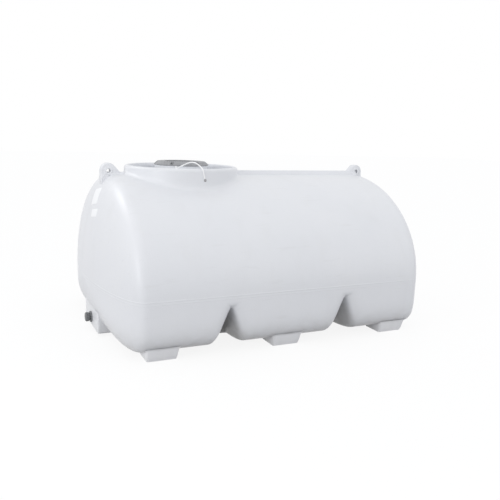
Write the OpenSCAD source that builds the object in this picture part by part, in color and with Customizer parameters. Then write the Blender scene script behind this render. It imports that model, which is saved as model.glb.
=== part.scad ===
// Horizontal tank for liquid fertilizer, moulded in white polyethylene.
// Millimetres, +Z up, floor at z = 0, X along the tank with the outlet at -X.
// The body is one thin moulding. Here it is an upper barrel, three lower lobes
// and two domed ends, which meet face to face, so that each keeps its own shape.

/* [Body] */

// length over the two domed ends
body_length = 2800; // [2320:10:3360]
// width at the parting line
body_width = 2050; // [1700:10:2460]
// height of the top of the barrel above the floor
body_top = 1280; // [1060:5:1540]
// height of the parting line, where the body is widest
seam_height = 465; // [440:5:560]
// gap between the floor and the lowest point of the lobes
ground_clearance = 22; // [15:1:40]
// wall thickness of the moulding
wall = 12; // [8:0.5:16]
// depth of each domed end
dome_depth = 260; // [200:5:320]

/* [Lower lobes] */

// distance between the two side notches that part the lobes
notch_spacing = 1000; // [830:10:1100]
// height of the notch peak above the floor
notch_height = 340; // [320:5:400]
// half width of a notch at the floor, before its foot spreads
notch_half_width = 105; // [90:5:140]
// distance of the closed inner end of a notch from the middle plane
notch_inner = 580; // [480:10:700]
// radius of the upright corners where a notch meets the side
notch_corner = 50; // [40:5:100]

/* [Feet] */

// length of a foot on the floor
foot_length = 216; // [180:2:220]
// length of a foot where it meets the lobe
foot_top_length = 250; // [230:2:260]
// how far the outer face of a foot leans in towards the floor
foot_lean = 50; // [0:5:60]

/* [Manway] */

// distance of the manway from the middle of the tank
manway_offset = 567; // [450:1:600]
// outer radius of the raised collar
collar_radius = 477; // [440:1:500]
// height of the collar rim above the top of the barrel
collar_rise = 72; // [60:1:100]
// depth of the round well inside the collar
well_depth = 77; // [60:1:90]
// inner radius of the manway
manway_radius = 203; // [170:1:205]
// height of the manway neck above the well floor
neck_height = 65; // [55:1:80]
// height of the lid above the top of the neck
lid_height = 49; // [40:1:60]

/* [Outlet] */

// half width of the flat outlet boss
boss_half_width = 255; // [200:5:300]
// distance of the boss face behind the front of the body
boss_setback = 62; // [50:1:80]
// height of the outlet above the floor
outlet_height = 98; // [85:1:120]
// bore radius of the outlet spigot
outlet_bore = 25; // [20:0.5:30]

/* [Lifting eyes and ridge] */

// distance of each lifting eye from the end of the body
eye_setback = 210; // [190:1:230]
// height of the eye hole above the top of the barrel
eye_rise = 27; // [20:1:40]
// radius of the hole in the lifting eye
eye_bore = 17; // [12:0.5:20]
// width of the rim round the hole of the lifting eye
eye_rim = 46; // [30:1:52]
// thickness of the eye across the tank
eye_thickness = 72; // [60:2:120]
// height of the ridge above the barrel
ridge_height = 32; // [20:1:45]

/* [Hidden] */

// half sizes of the body, and the half length of its straight barrel
half_length = body_length / 2;
half_width = body_width / 2;
straight = half_length - dome_depth;
notch_x = notch_spacing / 2;
// the front and rear feet end where the domed ends begin
foot_spacing = straight - foot_top_length / 2;

// superellipse exponents: round above the parting line, nearly square below
upper_power = 2;
lower_power = 6;
// exponents of the domed ends: how the section shrinks and how the dome bulges
dome_shrink = 1.6;
dome_bulge = 2.2;

// steps round the section above the parting line
upper_steps = 20;
// steps from the rim of a domed end to its pole
dome_steps = 8;

// the notch: a rounded peak and straight, steep flanks that spread at the foot
notch_base = -100;
notch_slope = notch_height / notch_half_width;
notch_tip = 12;
notch_blend = 140;
// how far the inner end of a notch leans
notch_ramp = 40;

// steps of the lower section that the feet cover, counted from the parting line
foot_first = 7;
foot_last = 9;

manway_x = -manway_offset;
collar_top = body_top + collar_rise;
well_level = collar_top - well_depth;
neck_radius = manway_radius + wall;
neck_top = well_level + neck_height;
gasket_height = 6;

// steps round the large turned pieces and round the small ones
large_steps = 96;
small_steps = 48;
// how far a cutting tool runs past the piece it cuts
past = 1;

// polar outline of a superellipse: the radius for one direction
function squircle(angle, power) =
    pow(pow(abs(cos(angle)), power) + pow(abs(sin(angle)), power), -1 / power);

// section of the body: [y, z] for an angle, inset by a wall and shrunk by s
function section(angle, inset, s) =
    let (above = sin(angle) > 0,
         r = squircle(angle, above ? upper_power : lower_power),
         high = above ? body_top - seam_height : seam_height - ground_clearance)
    [(half_width - inset) * s * r * cos(angle),
     seam_height + (high - inset) * s * r * sin(angle)];

// the larger of two heights, with the corner between them rounded off
function smooth_max(a, b) =
    let (t = min(1, max(0, 0.5 + 0.5 * (b - a) / notch_blend)))
    a * (1 - t) + b * t + notch_blend * t * (1 - t);

function smooth_step(t) = let (c = min(1, max(0, t))) c * c * (3 - 2 * c);

// how much wider a notch is at y, where its upright corners are rounded
function corner_flare(y, inset) =
    let (radius = notch_corner - inset,
         into = min(radius, max(0, abs(y) - half_width + notch_corner)))
    radius - sqrt(radius * radius - into * into);

// height of the notch surface above the floor at x, y
function notch(x, y, inset) =
    let (across = max(0, abs(abs(x) - notch_x) - inset - corner_flare(y, inset)),
         fall = notch_slope * (sqrt(across * across + notch_tip * notch_tip) - notch_tip),
         open = smooth_step((abs(y) - notch_inner + inset + notch_ramp / 2) / notch_ramp),
         top = notch_height + inset - notch_base)
    notch_base + max(0, top - fall) * open;

// point of a lobe at x for an angle round the section: a notch squeezes the
// section upwards, so that its rounded lower corner follows the flank
function lobe_point(x, angle, inset) =
    let (p = section(angle, inset, 1),
         bottom = ground_clearance + inset,
         raised = smooth_max(bottom, notch(x, p[0], inset)),
         squeeze = (seam_height - raised) / (seam_height - bottom))
    [x, p[0], seam_height + (p[1] - seam_height) * squeeze];

// point of a domed end; turn goes from 0 at the rim to 90 at the pole
function dome_point(side, turn, angle, inset) =
    let (p = section(angle, inset, pow(max(0, cos(turn)), 2 / dome_shrink)),
         bulge = pow(sin(turn), 2 / dome_bulge))
    [side * (straight + (dome_depth - inset) * bulge), p[0], p[1]];

// steps of the lower section: outside the inner ends of the notches, and between them
outer_steps = 10;
inner_steps = 5;
lower_steps = 2 * outer_steps + inner_steps + 2;

// angle of the lower section at which it is y away from the middle plane
function angle_at(y) =
    let (share = y / half_width)
    atan2(pow(1 - pow(share, lower_power), 1 / lower_power), share);
inner_low = angle_at(notch_inner + notch_ramp / 2);
inner_high = angle_at(notch_inner - notch_ramp / 2);

function quarter_angle(j) =
    j <= outer_steps ? inner_low * j / outer_steps
        : inner_high + (180 - 2 * inner_high) * (j - outer_steps - 1) / inner_steps;
function lower_angle(j) =
    180 + (2 * j <= lower_steps ? quarter_angle(j) : 180 - quarter_angle(lower_steps - j));
function round_angle(j) =
    j <= upper_steps ? 180 * j / upper_steps : lower_angle(j - upper_steps);

// faces of a grid of rows by columns whose points start at first
function grid_faces(first, rows, columns, turned) =
    [for (i = [0:rows - 2], j = [0:columns - 2], k = [0, 1])
        let (a = first + i * columns + j,
             b = a + 1,
             c = a + columns + 1,
             d = a + columns,
             tri = k == 0 ? [a, b, c] : [a, c, d])
        turned ? [tri[2], tri[1], tri[0]] : tri];

// faces of a strip between two equal rows of point numbers
function strip_faces(low, high) =
    [for (i = [0:len(low) - 2], k = [0, 1])
        k == 0 ? [low[i], high[i], high[i + 1]] : [low[i], high[i + 1], low[i + 1]]];

// rings along x, closer together near a notch, as far as the next foot
notch_rings = [0, 12, 28, 50, 76, 100, 120, 145, 175, 225];
ring_room = 20;
foot_half = foot_top_length / 2;
function outer_rings() =
    let (edge = foot_spacing - foot_half)
    concat([for (d = notch_rings) if (notch_x + d < edge - ring_room) notch_x + d],
        [edge, foot_spacing, straight]);
function middle_half() =
    concat([0, foot_half],
        [for (i = [len(notch_rings) - 1:-1:0])
            if (notch_x - notch_rings[i] > foot_half + ring_room) notch_x - notch_rings[i]]);
function mirrored(list) = [for (i = [len(list) - 1:-1:0]) -list[i]];
middle_rings = concat([for (v = mirrored(middle_half())) if (v < 0) v], middle_half());

// a lobe: its outer and inner skins and the four edges between them
module lobe(rings) {
    rows = len(rings);
    columns = lower_steps + 1;
    count = rows * columns;
    points = [for (inset = [0, wall], x = rings, j = [0:lower_steps])
        lobe_point(x, lower_angle(j), inset)];
    first_row = [for (j = [0:columns - 1]) j];
    last_row = [for (j = [0:columns - 1]) (rows - 1) * columns + j];
    first_column = [for (i = [0:rows - 1]) i * columns];
    last_column = [for (i = [0:rows - 1]) i * columns + columns - 1];
    polyhedron(points, concat(
        grid_faces(0, rows, columns, true),
        grid_faces(count, rows, columns, false),
        strip_faces([for (k = first_row) k + count], first_row),
        strip_faces(last_row, [for (k = last_row) k + count]),
        strip_faces(first_column, [for (k = first_column) k + count]),
        strip_faces([for (k = last_column) k + count], last_column)));
}

// rings of a domed end, from the rim towards the pole
function dome_points(side, inset) =
    [for (i = [0:dome_steps - 1], j = [0:upper_steps + lower_steps - 1])
        dome_point(side, 90 * i / dome_steps, round_angle(j), inset)];
function ring(i, j) = let (n = upper_steps + lower_steps) i * n + j % n;

// faces of one skin of a domed end whose points start at first, with its pole
function dome_faces(first, pole, turned) = concat(
    [for (i = [0:dome_steps - 2], j = [0:upper_steps + lower_steps - 1], k = [0, 1])
        let (a = first + ring(i, j),
             b = first + ring(i, j + 1),
             c = first + ring(i + 1, j + 1),
             d = first + ring(i + 1, j),
             tri = k == 0 ? [a, b, c] : [a, c, d])
        turned ? [tri[2], tri[1], tri[0]] : tri],
    [for (j = [0:upper_steps + lower_steps - 1])
        let (a = first + ring(dome_steps - 1, j),
             b = first + ring(dome_steps - 1, j + 1))
        turned ? [pole, b, a] : [a, b, pole]]);

// a domed end as a shell, or as a solid when hollow is false
module dome(side, hollow) {
    n = upper_steps + lower_steps;
    count = dome_steps * n;
    outer = concat(dome_points(side, 0), [[side * half_length, 0, seam_height]]);
    inner = concat(dome_points(side, wall), [[side * (half_length - wall), 0, seam_height]]);
    turned = side > 0;
    rim = hollow
        ? [for (j = [0:n - 1], k = [0, 1])
            let (a = j,
                 b = (j + 1) % n,
                 shift = count + 1,
                 tri = k == 0 ? [b, a, a + shift] : [b, a + shift, b + shift])
            turned ? [tri[2], tri[1], tri[0]] : tri]
        : [[for (j = [0:n - 1]) turned ? j : n - 1 - j]];
    polyhedron(hollow ? concat(outer, inner) : outer,
        concat(dome_faces(0, count, turned),
            hollow ? dome_faces(count + 1, 2 * count + 1, !turned) : [],
            rim));
}

// upper section of the body as a flat outline, y across and z up
module upper_outline(inset) {
    polygon([for (j = [0:upper_steps]) section(180 * j / upper_steps, inset, 1)]);
}

// a flat y-z outline pulled along x from -reach to reach
module along_x(reach) {
    rotate([90, 0, 90]) translate([0, 0, -reach]) linear_extrude(2 * reach) children();
}

// a round tube or, with no inner radius, a disc, standing on z = 0
module tube(outer, inner, height, steps) {
    difference() {
        cylinder(r = outer, h = height, $fn = steps);
        if (inner > 0)
            translate([0, 0, -past]) cylinder(r = inner, h = height + 2 * past, $fn = steps);
    }
}

module barrel_upper() {
    color("white") difference() {
        along_x(straight) difference() {
            upper_outline(0);
            upper_outline(wall);
        }
        translate([manway_x, 0, seam_height])
            cylinder(r = collar_radius, h = body_top, $fn = large_steps);
    }
}

module lobe_front() {
    color("white") lobe(mirrored(outer_rings()));
}

module lobe_middle() {
    color("white") lobe(middle_rings);
}

module lobe_rear() {
    color("white") lobe(outer_rings());
}

// the front end is open to the hollow boss that leads to the outlet
module end_front() {
    color("white") difference() {
        dome(-1, true);
        boss_block(wall);
    }
}

module end_rear() {
    color("white") dome(1, true);
}

// raised rib that runs round the body where the mould parts
rib_height = 14;
rib_reach = 5;
rib_gap = 0.3;

function plan_outline(grow) =
    let (steps = 2 * dome_steps,
         quarter = [for (i = [0:steps])
             let (turn = 90 * i / steps)
             [straight + (dome_depth + grow) * pow(sin(turn), 2 / dome_bulge),
              (half_width + grow) * pow(max(0, cos(turn)), 2 / dome_shrink)]])
    concat(quarter,
        [for (i = [steps - 1:-1:0]) [quarter[i][0], -quarter[i][1]]],
        [for (i = [0:steps]) [-quarter[i][0], -quarter[i][1]]],
        [for (i = [steps - 1:-1:0]) [-quarter[i][0], quarter[i][1]]]);

module seam_rib() {
    color("white") translate([0, 0, seam_height - rib_height / 2]) linear_extrude(rib_height)
        difference() {
            polygon(plan_outline(rib_reach));
            polygon(plan_outline(rib_gap));
        }
}

// raised collar round the manway, with a rounded rim; it stands in the barrel's hole
rim_radius = 15;

module collar() {
    height = collar_top - rim_radius - seam_height;
    color("white") difference() {
        translate([manway_x, 0, 0]) {
            translate([0, 0, seam_height])
                tube(collar_radius, collar_radius - wall, height, large_steps);
            translate([0, 0, collar_top - rim_radius]) rotate_extrude($fn = large_steps)
                translate([collar_radius - rim_radius, 0])
                circle(r = rim_radius, $fn = 24);
        }
        along_x(straight) upper_outline(wall);
    }
}

// rounded foot of the collar, which runs out over the curved barrel
fillet_reach = 36;
fillet_steps = 3;
fillet_turns = 64;
fillet_depth = 40;
fillet_gap = 0.3;
barrel_heights = [for (j = [upper_steps:-1:0]) section(180 * j / upper_steps, 0, 1)];

function fillet_ring(k) =
    let (turn = 360 * k / fillet_turns,
         seat = (collar_radius + fillet_gap) / cos(180 / fillet_turns),
         reach = seat + fillet_reach,
         arc = [for (s = [0:fillet_steps])
             let (angle = 90 * s / fillet_steps)
             [reach - fillet_reach * sin(angle), fillet_reach * (1 - cos(angle))]],
         profile = concat(arc, [[seat, -fillet_depth], [reach, -fillet_depth]]))
    [for (p = profile)
        [p[0] * cos(turn), p[0] * sin(turn),
         p[1] + lookup(p[0] * sin(turn), barrel_heights)]];

module collar_fillet() {
    n = fillet_steps + 3;
    color("white") difference() {
        translate([manway_x, 0, 0]) polyhedron(
            [for (k = [0:fillet_turns - 1]) each fillet_ring(k)],
            [for (k = [0:fillet_turns - 1], j = [0:n - 1], m = [0, 1])
                let (a = k * n + j,
                     b = k * n + (j + 1) % n,
                     c = (k + 1) % fillet_turns * n + (j + 1) % n,
                     d = (k + 1) % fillet_turns * n + j)
                m == 0 ? [a, b, c] : [a, c, d]]);
        along_x(straight) upper_outline(0);
        ridge_block(gusset_foot - eye_offset, manway_x, front_ridge_height);
        ridge_block(manway_x, eye_offset - gusset_foot, ridge_height);
    }
}

module well_floor() {
    color("white") translate([manway_x, 0, well_level - wall])
        tube(collar_radius - wall, manway_radius, wall, large_steps);
}

module manway_neck() {
    color("white") translate([manway_x, 0, well_level])
        tube(neck_radius, manway_radius, neck_height, large_steps);
}

module neck_gasket() {
    color("dimgray") translate([manway_x, 0, neck_top])
        tube(neck_radius - 1, manway_radius + 1, gasket_height, large_steps);
}

// the lid: a skirted ring with a bevelled shoulder and grip notches, round a flat cover
lid_clearance = 9;
lid_skirt = 6;
lid_gap = 0.3;
lid_radius = neck_radius + lid_clearance + lid_skirt;
lid_base = neck_top + gasket_height + lid_gap;
lid_top = neck_top + lid_height;
skirt_low = well_level + 18;
shoulder_in = 30;
shoulder_drop = 26;
ring_inner = 140;
cover_drop = 8;
grip_count = 6;
grip_angle = -126;
grip_width = 26;
grip_depth = 12;

module lid_ring() {
    color("dimgray") translate([manway_x, 0, 0]) difference() {
        rotate_extrude($fn = large_steps) polygon([
            [lid_radius, skirt_low],
            [lid_radius, lid_top - shoulder_drop],
            [lid_radius - shoulder_in, lid_top],
            [ring_inner, lid_top],
            [ring_inner, lid_base],
            [lid_radius - lid_skirt, lid_base],
            [lid_radius - lid_skirt, skirt_low]]);
        for (k = [0:grip_count - 1])
            rotate([0, 0, grip_angle + 360 * k / grip_count])
                translate([ring_inner - past, -grip_width / 2, lid_top - grip_depth])
                cube([lid_radius, grip_width, grip_depth + past]);
    }
}

module lid_cover() {
    color("gray") translate([manway_x, 0, lid_base])
        cylinder(r = ring_inner, h = lid_top - cover_drop - lid_base, $fn = large_steps);
}

// small loop on the lid that holds the tether
loop_angle = -119.5;
loop_bore = 6;
loop_wall = 5;
loop_size = 2 * (loop_bore + loop_wall);
loop_height = lid_top - shoulder_drop - 31;

module lid_eye() {
    color("dimgray") translate([manway_x, 0, loop_height]) rotate([0, 0, loop_angle])
        translate([lid_radius, 0, 0]) difference() {
            translate([0, -loop_size / 2, 0]) cube([loop_size, loop_size, loop_wall]);
            translate([loop_size / 2 + past, 0, -past])
                cylinder(r = loop_bore, h = loop_wall + 2 * past, $fn = 24);
        }
}

// low ridge along the crown: behind the collar, and a lower one before it
ridge_half_width = 38;
ridge_bevel = 8;
front_ridge_height = 16;

// the whole length of a ridge, between two places along x
module ridge_block(low_x, high_x, height) {
    translate([low_x, 0, 0]) rotate([90, 0, 90]) linear_extrude(high_x - low_x)
        polygon([[-ridge_half_width, body_top - ridge_bevel],
                 [-ridge_half_width + ridge_bevel, body_top + height],
                 [ridge_half_width - ridge_bevel, body_top + height],
                 [ridge_half_width, body_top - ridge_bevel]]);
}

// a ridge with its foot cut to the barrel and the domed end, and its end to the collar
module ridge(side, low_x, high_x, height) {
    difference() {
        ridge_block(low_x, high_x, height);
        along_x(straight) upper_outline(0);
        dome(side, false);
        translate([manway_x, 0, 0])
            cylinder(r = collar_radius, h = 2 * body_top, $fn = large_steps);
    }
}

module ridge_front() {
    color("white") ridge(-1, gusset_foot - eye_offset, manway_x, front_ridge_height);
}

module ridge_rear() {
    color("white") ridge(1, manway_x, eye_offset - gusset_foot, ridge_height);
}

// lifting eye: a round head on a thick web, with a gusset towards the barrel
eye_offset = half_length - eye_setback;
eye_height = body_top + eye_rise;
eye_radius = eye_bore + eye_rim;
eye_depth = 118;
gusset_foot = 94;
gusset_turn = 42;
eye_steps = 24;

function eye_outline() = concat(
    [[-eye_radius, -eye_depth]],
    [for (k = [0:eye_steps])
        let (angle = 180 - (180 - gusset_turn) * k / eye_steps)
        eye_radius * [cos(angle), sin(angle)]],
    [[gusset_foot, front_ridge_height - eye_rise],
     [gusset_foot, -eye_depth]]);

module lifting_eye(side) {
    difference() {
        translate([side * eye_offset, 0, eye_height])
            rotate([90, 0, side < 0 ? 0 : 180])
            translate([0, 0, -eye_thickness / 2]) linear_extrude(eye_thickness)
            difference() {
                polygon(eye_outline());
                circle(r = eye_bore, $fn = small_steps);
            }
        along_x(straight + past) upper_outline(0);
        dome(side, false);
    }
}

module lifting_eye_front() {
    color("white") lifting_eye(-1);
}

module lifting_eye_rear() {
    color("white") lifting_eye(1);
}

// a foot: its top lies on the lobe, its sides draw in towards the floor
module foot(x, side) {
    columns = foot_last - foot_first + 1;
    rows = 3;
    angles = [for (j = [foot_first:foot_last])
        side < 0 ? lower_angle(j) : lower_angle(lower_steps - j)];
    shrink = foot_length / foot_top_length;
    top = [for (i = [0:rows - 1], a = angles) lobe_point(x + (i - 1) * foot_half, a, 0)];
    outer_y = abs(top[0][1]);
    inner_y = abs(top[columns - 1][1]);
    base = [for (p = top)
        let (lean = foot_lean * (abs(p[1]) - inner_y) / (outer_y - inner_y))
        [x + (p[0] - x) * shrink, p[1] - side * lean, 0]];
    count = rows * columns;
    first_row = [for (j = [0:columns - 1]) j];
    last_row = [for (j = first_row) j + (rows - 1) * columns];
    first_column = [for (i = [0:rows - 1]) i * columns];
    last_column = [for (i = first_column) i + columns - 1];
    faces = concat(
        grid_faces(0, rows, columns, false),
        grid_faces(count, rows, columns, true),
        strip_faces(first_row, [for (k = first_row) k + count]),
        strip_faces([for (k = last_row) k + count], last_row),
        strip_faces([for (k = first_column) k + count], first_column),
        strip_faces(last_column, [for (k = last_column) k + count]));
    polyhedron(concat(top, base),
        side < 0 ? faces : [for (f = faces) [f[2], f[1], f[0]]]);
}

module foot_front_left() {
    color("white") foot(-foot_spacing, 1);
}

module foot_front_right() {
    color("white") foot(-foot_spacing, -1);
}

module foot_middle_left() {
    color("white") foot(0, 1);
}

module foot_middle_right() {
    color("white") foot(0, -1);
}

module foot_rear_left() {
    color("white") foot(foot_spacing, 1);
}

module foot_rear_right() {
    color("white") foot(foot_spacing, -1);
}

// hollow boss with a flat face, low on the front end, that carries the outlet
boss_face = half_length - boss_setback;
boss_low = ground_clearance;
boss_back = straight + 40;

boss_corner = 26;

// the block of the boss, drawn in by a wall and then open behind
module boss_block(inset) {
    back = boss_back - (inset > 0 ? dome_depth : 0);
    front = boss_face - inset;
    half = boss_half_width - inset;
    round = boss_corner - inset;
    translate([0, 0, boss_low + inset]) linear_extrude(seam_height - boss_low - 2 * inset) {
        translate([-front, -half + round]) square([front - back, 2 * (half - round)]);
        translate([-front + round, -half]) square([front - round - back, 2 * half]);
        for (y = [-half + round, half - round])
            translate([-front + round, y]) circle(r = round, $fn = small_steps);
    }
}

module outlet_boss() {
    color("white") difference() {
        boss_block(0);
        dome(-1, false);
        boss_block(wall);
        outward(-2 * wall, past, spigot_radius);
    }
}

// outlet: a flange on the boss, a spigot through it and a ribbed cap
flange_radius = 46;
flange_depth = 14;
spigot_radius = outlet_bore + 5;
spigot_reach = 46;
cap_radius = spigot_radius + 6;
cap_depth = 28;
cap_end = 5;
cap_ribs = 12;
cap_rib = 3;

// a round piece along -x from the boss face, between two distances
module outward(near, far, radius) {
    translate([-boss_face - near, 0, outlet_height]) rotate([0, -90, 0])
        cylinder(r = radius, h = far - near, $fn = small_steps);
}

module outlet_flange() {
    color("dimgray") difference() {
        outward(0, flange_depth, flange_radius);
        outward(-past, flange_depth + past, spigot_radius);
    }
}

module outlet_spigot() {
    color("dimgray") difference() {
        outward(-2 * wall, spigot_reach, spigot_radius);
        outward(-2 * wall - past, spigot_reach + past, outlet_bore);
    }
}

module outlet_cap() {
    color("dimgray") difference() {
        union() {
            outward(spigot_reach + cap_end - cap_depth, spigot_reach + cap_end, cap_radius);
            for (k = [0:cap_ribs - 1])
                translate([-boss_face - spigot_reach - cap_end, 0, outlet_height])
                    rotate([360 * k / cap_ribs, 0, 0])
                    translate([0, -cap_rib / 2, 0])
                    cube([cap_depth, cap_rib, cap_radius + cap_rib / 2]);
        }
        outward(0, spigot_reach, spigot_radius);
    }
}

// white cord that keeps the lid with the tank
cord_radius = 5;
cord_sides = 8;
cord_path = [[-692, -221, 1335], [-694, -236, 1337], [-686, -262, 1345], [-668, -298, 1362],
             [-644, -336, 1381], [-618, -374, 1396], [-598, -404, 1397], [-580, -432, 1386],
             [-566, -454, 1371], [-559, -470, 1360], [-555, -482, 1350], [-551, -484, 1334],
             [-546, -483.5, 1314], [-541, -483, 1294], [-538, -483, 1275]];

function unit(v) = v / norm(v);
function cord_ring(i) =
    let (last = len(cord_path) - 1,
         along = unit(cord_path[min(i + 1, last)] - cord_path[max(i - 1, 0)]),
         across = unit(cross(along, [1, 0, 0])),
         up = cross(along, across))
    [for (k = [0:cord_sides - 1])
        cord_path[i] + cord_radius * (cos(360 * k / cord_sides) * across
            + sin(360 * k / cord_sides) * up)];

module tether() {
    last = len(cord_path) - 1;
    points = [for (i = [0:last]) each cord_ring(i)];
    sides = [for (i = [0:last - 1], k = [0:cord_sides - 1], m = [0, 1])
        let (a = i * cord_sides + k,
             b = i * cord_sides + (k + 1) % cord_sides,
             c = b + cord_sides,
             d = a + cord_sides)
        m == 0 ? [a, b, c] : [a, c, d]];
    color("white") polyhedron(points, concat(sides,
        [[for (k = [cord_sides - 1:-1:0]) k]],
        [[for (k = [0:cord_sides - 1]) last * cord_sides + k]]));
}

// screw in the collar that holds the lower end of the tether
screw_angle = -85.5;
screw_height = collar_top - 90;
screw_washer = 12;
screw_head = 6;

module tether_screw() {
    color("dimgray") translate([manway_x, 0, screw_height]) rotate([0, 0, screw_angle])
        translate([collar_radius, 0, 0]) rotate([0, 90, 0]) {
            cylinder(r = screw_washer, h = 6, $fn = small_steps);
            cylinder(r = screw_head, h = 12, $fn = small_steps);
        }
}

barrel_upper();
lobe_front();
lobe_middle();
lobe_rear();
end_front();
end_rear();
seam_rib();
collar();
collar_fillet();
well_floor();
manway_neck();
neck_gasket();
lid_ring();
lid_cover();
lid_eye();
ridge_front();
ridge_rear();
lifting_eye_front();
lifting_eye_rear();
foot_front_left();
foot_front_right();
foot_middle_left();
foot_middle_right();
foot_rear_left();
foot_rear_right();
outlet_boss();
outlet_flange();
outlet_spigot();
outlet_cap();
tether();
tether_screw();
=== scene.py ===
# %% [markdown]
# # A horizontal tank for liquid fertilizer
# The tank is one rotationally moulded shell of white polyethylene: a barrel above the
# parting line, three lobes on feet below it, and a raised collar round the manway.
# Each piece below is a surface worked out with numpy as a grid of points. The packed
# solids give the frame: a finished surface stands for the solids that it covers.

import math

import bmesh
import bpy
import numpy as np
from mathutils import Matrix, Vector


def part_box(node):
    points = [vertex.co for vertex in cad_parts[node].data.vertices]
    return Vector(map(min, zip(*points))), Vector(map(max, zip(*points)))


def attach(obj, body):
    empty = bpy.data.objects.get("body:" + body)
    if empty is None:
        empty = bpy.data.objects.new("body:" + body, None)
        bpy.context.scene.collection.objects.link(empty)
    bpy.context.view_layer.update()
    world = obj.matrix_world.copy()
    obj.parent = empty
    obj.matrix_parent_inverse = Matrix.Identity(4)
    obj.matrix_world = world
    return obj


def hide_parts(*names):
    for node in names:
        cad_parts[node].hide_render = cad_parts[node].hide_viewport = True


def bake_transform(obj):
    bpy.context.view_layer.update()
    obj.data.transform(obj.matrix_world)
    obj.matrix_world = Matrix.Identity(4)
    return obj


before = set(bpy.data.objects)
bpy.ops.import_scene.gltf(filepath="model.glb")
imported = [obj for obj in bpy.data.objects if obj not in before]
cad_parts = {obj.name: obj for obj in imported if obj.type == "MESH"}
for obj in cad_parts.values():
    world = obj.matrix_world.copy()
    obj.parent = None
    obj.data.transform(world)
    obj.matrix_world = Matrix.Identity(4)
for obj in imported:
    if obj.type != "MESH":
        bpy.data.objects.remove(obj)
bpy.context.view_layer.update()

# %% [markdown]
# Real sizes, in metres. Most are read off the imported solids' boxes, so that the
# surfaces follow the solids. The rest are the shape's own numbers: wall, powers, radii.

# %% sizes of the body
X, Y, Z = 0, 1, 2


class Box:
    """A solid's box: corners low and high, its middle, and half its size along each axis."""

    def __init__(self, solid):
        self.low, self.high = np.array(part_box(solid))
        self.middle = (self.low + self.high) / 2
        self.half = (self.high - self.low) / 2


collar, neck = Box("collar"), Box("manway_neck")
STRAIGHT, HALF_WIDTH, TOP = Box("barrel_upper").high
SEAM = Box("barrel_upper").low[Z]
DOME = Box("end_rear").high[X] - STRAIGHT
CLEARANCE = Box("lobe_middle").low[Z]
WALL = 0.012
MANWAY_X, COLLAR, COLLAR_TOP = collar.middle[X], collar.half[X], collar.high[Z]
WELL, NECK, NECK_TOP = Box("well_floor").high[Z], neck.half[X], neck.high[Z]
print("dome", round(DOME, 3), "seam", round(SEAM, 3), "collar", round(COLLAR, 3))

# %% [markdown]
# The camera looks along the long side from a little above the lid. It starts out
# looking down, is tilted up to just below level, and turned to the side.

# %% camera
YAW, PITCH, ROLL = 0.44262, 0.18694, 0.03187


def placed(name, data):
    """A new object that holds the data, linked into the scene."""
    made = bpy.data.objects.new(name, data)
    bpy.context.scene.collection.objects.link(made)
    return made


camera = placed("camera", bpy.data.cameras.new("camera"))
camera.data.lens = 44.27
camera.data.clip_end = 100.0
turned = (Matrix.Rotation(-YAW, 4, "Z") @ Matrix.Rotation(math.pi / 2 - PITCH, 4, "X")
          @ Matrix.Rotation(ROLL, 4, "Z"))
camera.matrix_world = Matrix.Translation((-2.27044, -5.00819, 1.63433)) @ turned
bpy.context.scene.camera = camera
print("camera at", [round(v, 2) for v in camera.location])

# %% [markdown]
# Every surface here is a patch: a grid of points, rows by columns. Neighbouring patches
# share their edge points, so merging doubles closes the piece, and a pole is a row whose
# points all fall together. A patch faces outward when its columns run anticlockwise
# round its rows; a flipped patch faces the other way. The volume inside a piece tells
# whether its faces point outward: it is positive and of the right size.


# %% small helpers
MERGE = 2e-5


def unit(v):
    """The vectors of the last axis, each divided by its length."""
    return v / np.linalg.norm(v, axis=-1, keepdims=True)


def smooth_step(t):
    """3 t^2 - 2 t^3 for t from 0 to 1; 0 below and 1 above."""
    t = np.clip(t, 0, 1)
    return t * t * (3 - 2 * t)


def at(*coordinates):
    """Points from their coordinates, numbers or arrays, spread to one common shape."""
    return np.stack(np.broadcast_arrays(*coordinates), axis=-1)


def quarter(radius, steps):
    """A quarter circle's points, r (1 - sin t) and r (1 - cos t), for t up to 90 degrees."""
    t = np.linspace(0, np.pi / 2, steps + 1)
    return radius * at(1 - np.sin(t), 1 - np.cos(t))


print("merging distance:", MERGE)


# %% from patches to a piece
def quads(rows, columns, first, flipped):
    """Corner numbers of the faces of a grid: (i, j), (i, j+1), (i+1, j+1), (i+1, j)."""
    i, j = np.meshgrid(np.arange(rows - 1), np.arange(columns - 1), indexing="ij")
    a = first + i * columns + j
    faces = np.stack([a, a + 1, a + columns + 1, a + columns], axis=-1).reshape(-1, 4)
    return faces[:, ::-1] if flipped else faces


def piece(name, patches, material, slot, body="tank", sharp=38, solids=()):
    """One closed piece from (grid, flipped) patches, shaded smooth but for sharp edges."""
    points, faces, first = [], [], 0
    for grid, flipped in patches:
        rows, columns = grid.shape[:2]
        points.append(grid.reshape(-1, 3))
        faces.append(quads(rows, columns, first, flipped))
        first += rows * columns
    mesh = bpy.data.meshes.new(name)
    mesh.from_pydata(np.concatenate(points), [], np.concatenate(faces), shade_flat=False)
    work = bmesh.new()
    work.from_mesh(mesh)
    bmesh.ops.remove_doubles(work, verts=work.verts, dist=MERGE)
    open_edges = sum(not edge.is_manifold for edge in work.edges)
    volume = work.calc_volume(signed=True)
    work.to_mesh(mesh)
    work.free()
    mesh.set_sharp_from_angle(angle=math.radians(sharp))
    mesh.materials.append(material)
    thing = placed(name, mesh)
    if body:
        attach(thing, body)
    if solids:
        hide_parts(*solids)
    mesh.calc_loop_triangles()
    print(f"{name}: {len(mesh.loop_triangles)} triangles, {open_edges} open edges, "
          f"{volume * 1000:.2f} litres")
    return thing


# %% [markdown]
# Materials are node trees. Shader arithmetic reads best as plain arithmetic, so a Wire
# wraps a socket: adding, multiplying or subtracting wires adds the Math nodes. All other
# nodes come from one method, which takes a type, its sockets' values and its settings.


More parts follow.
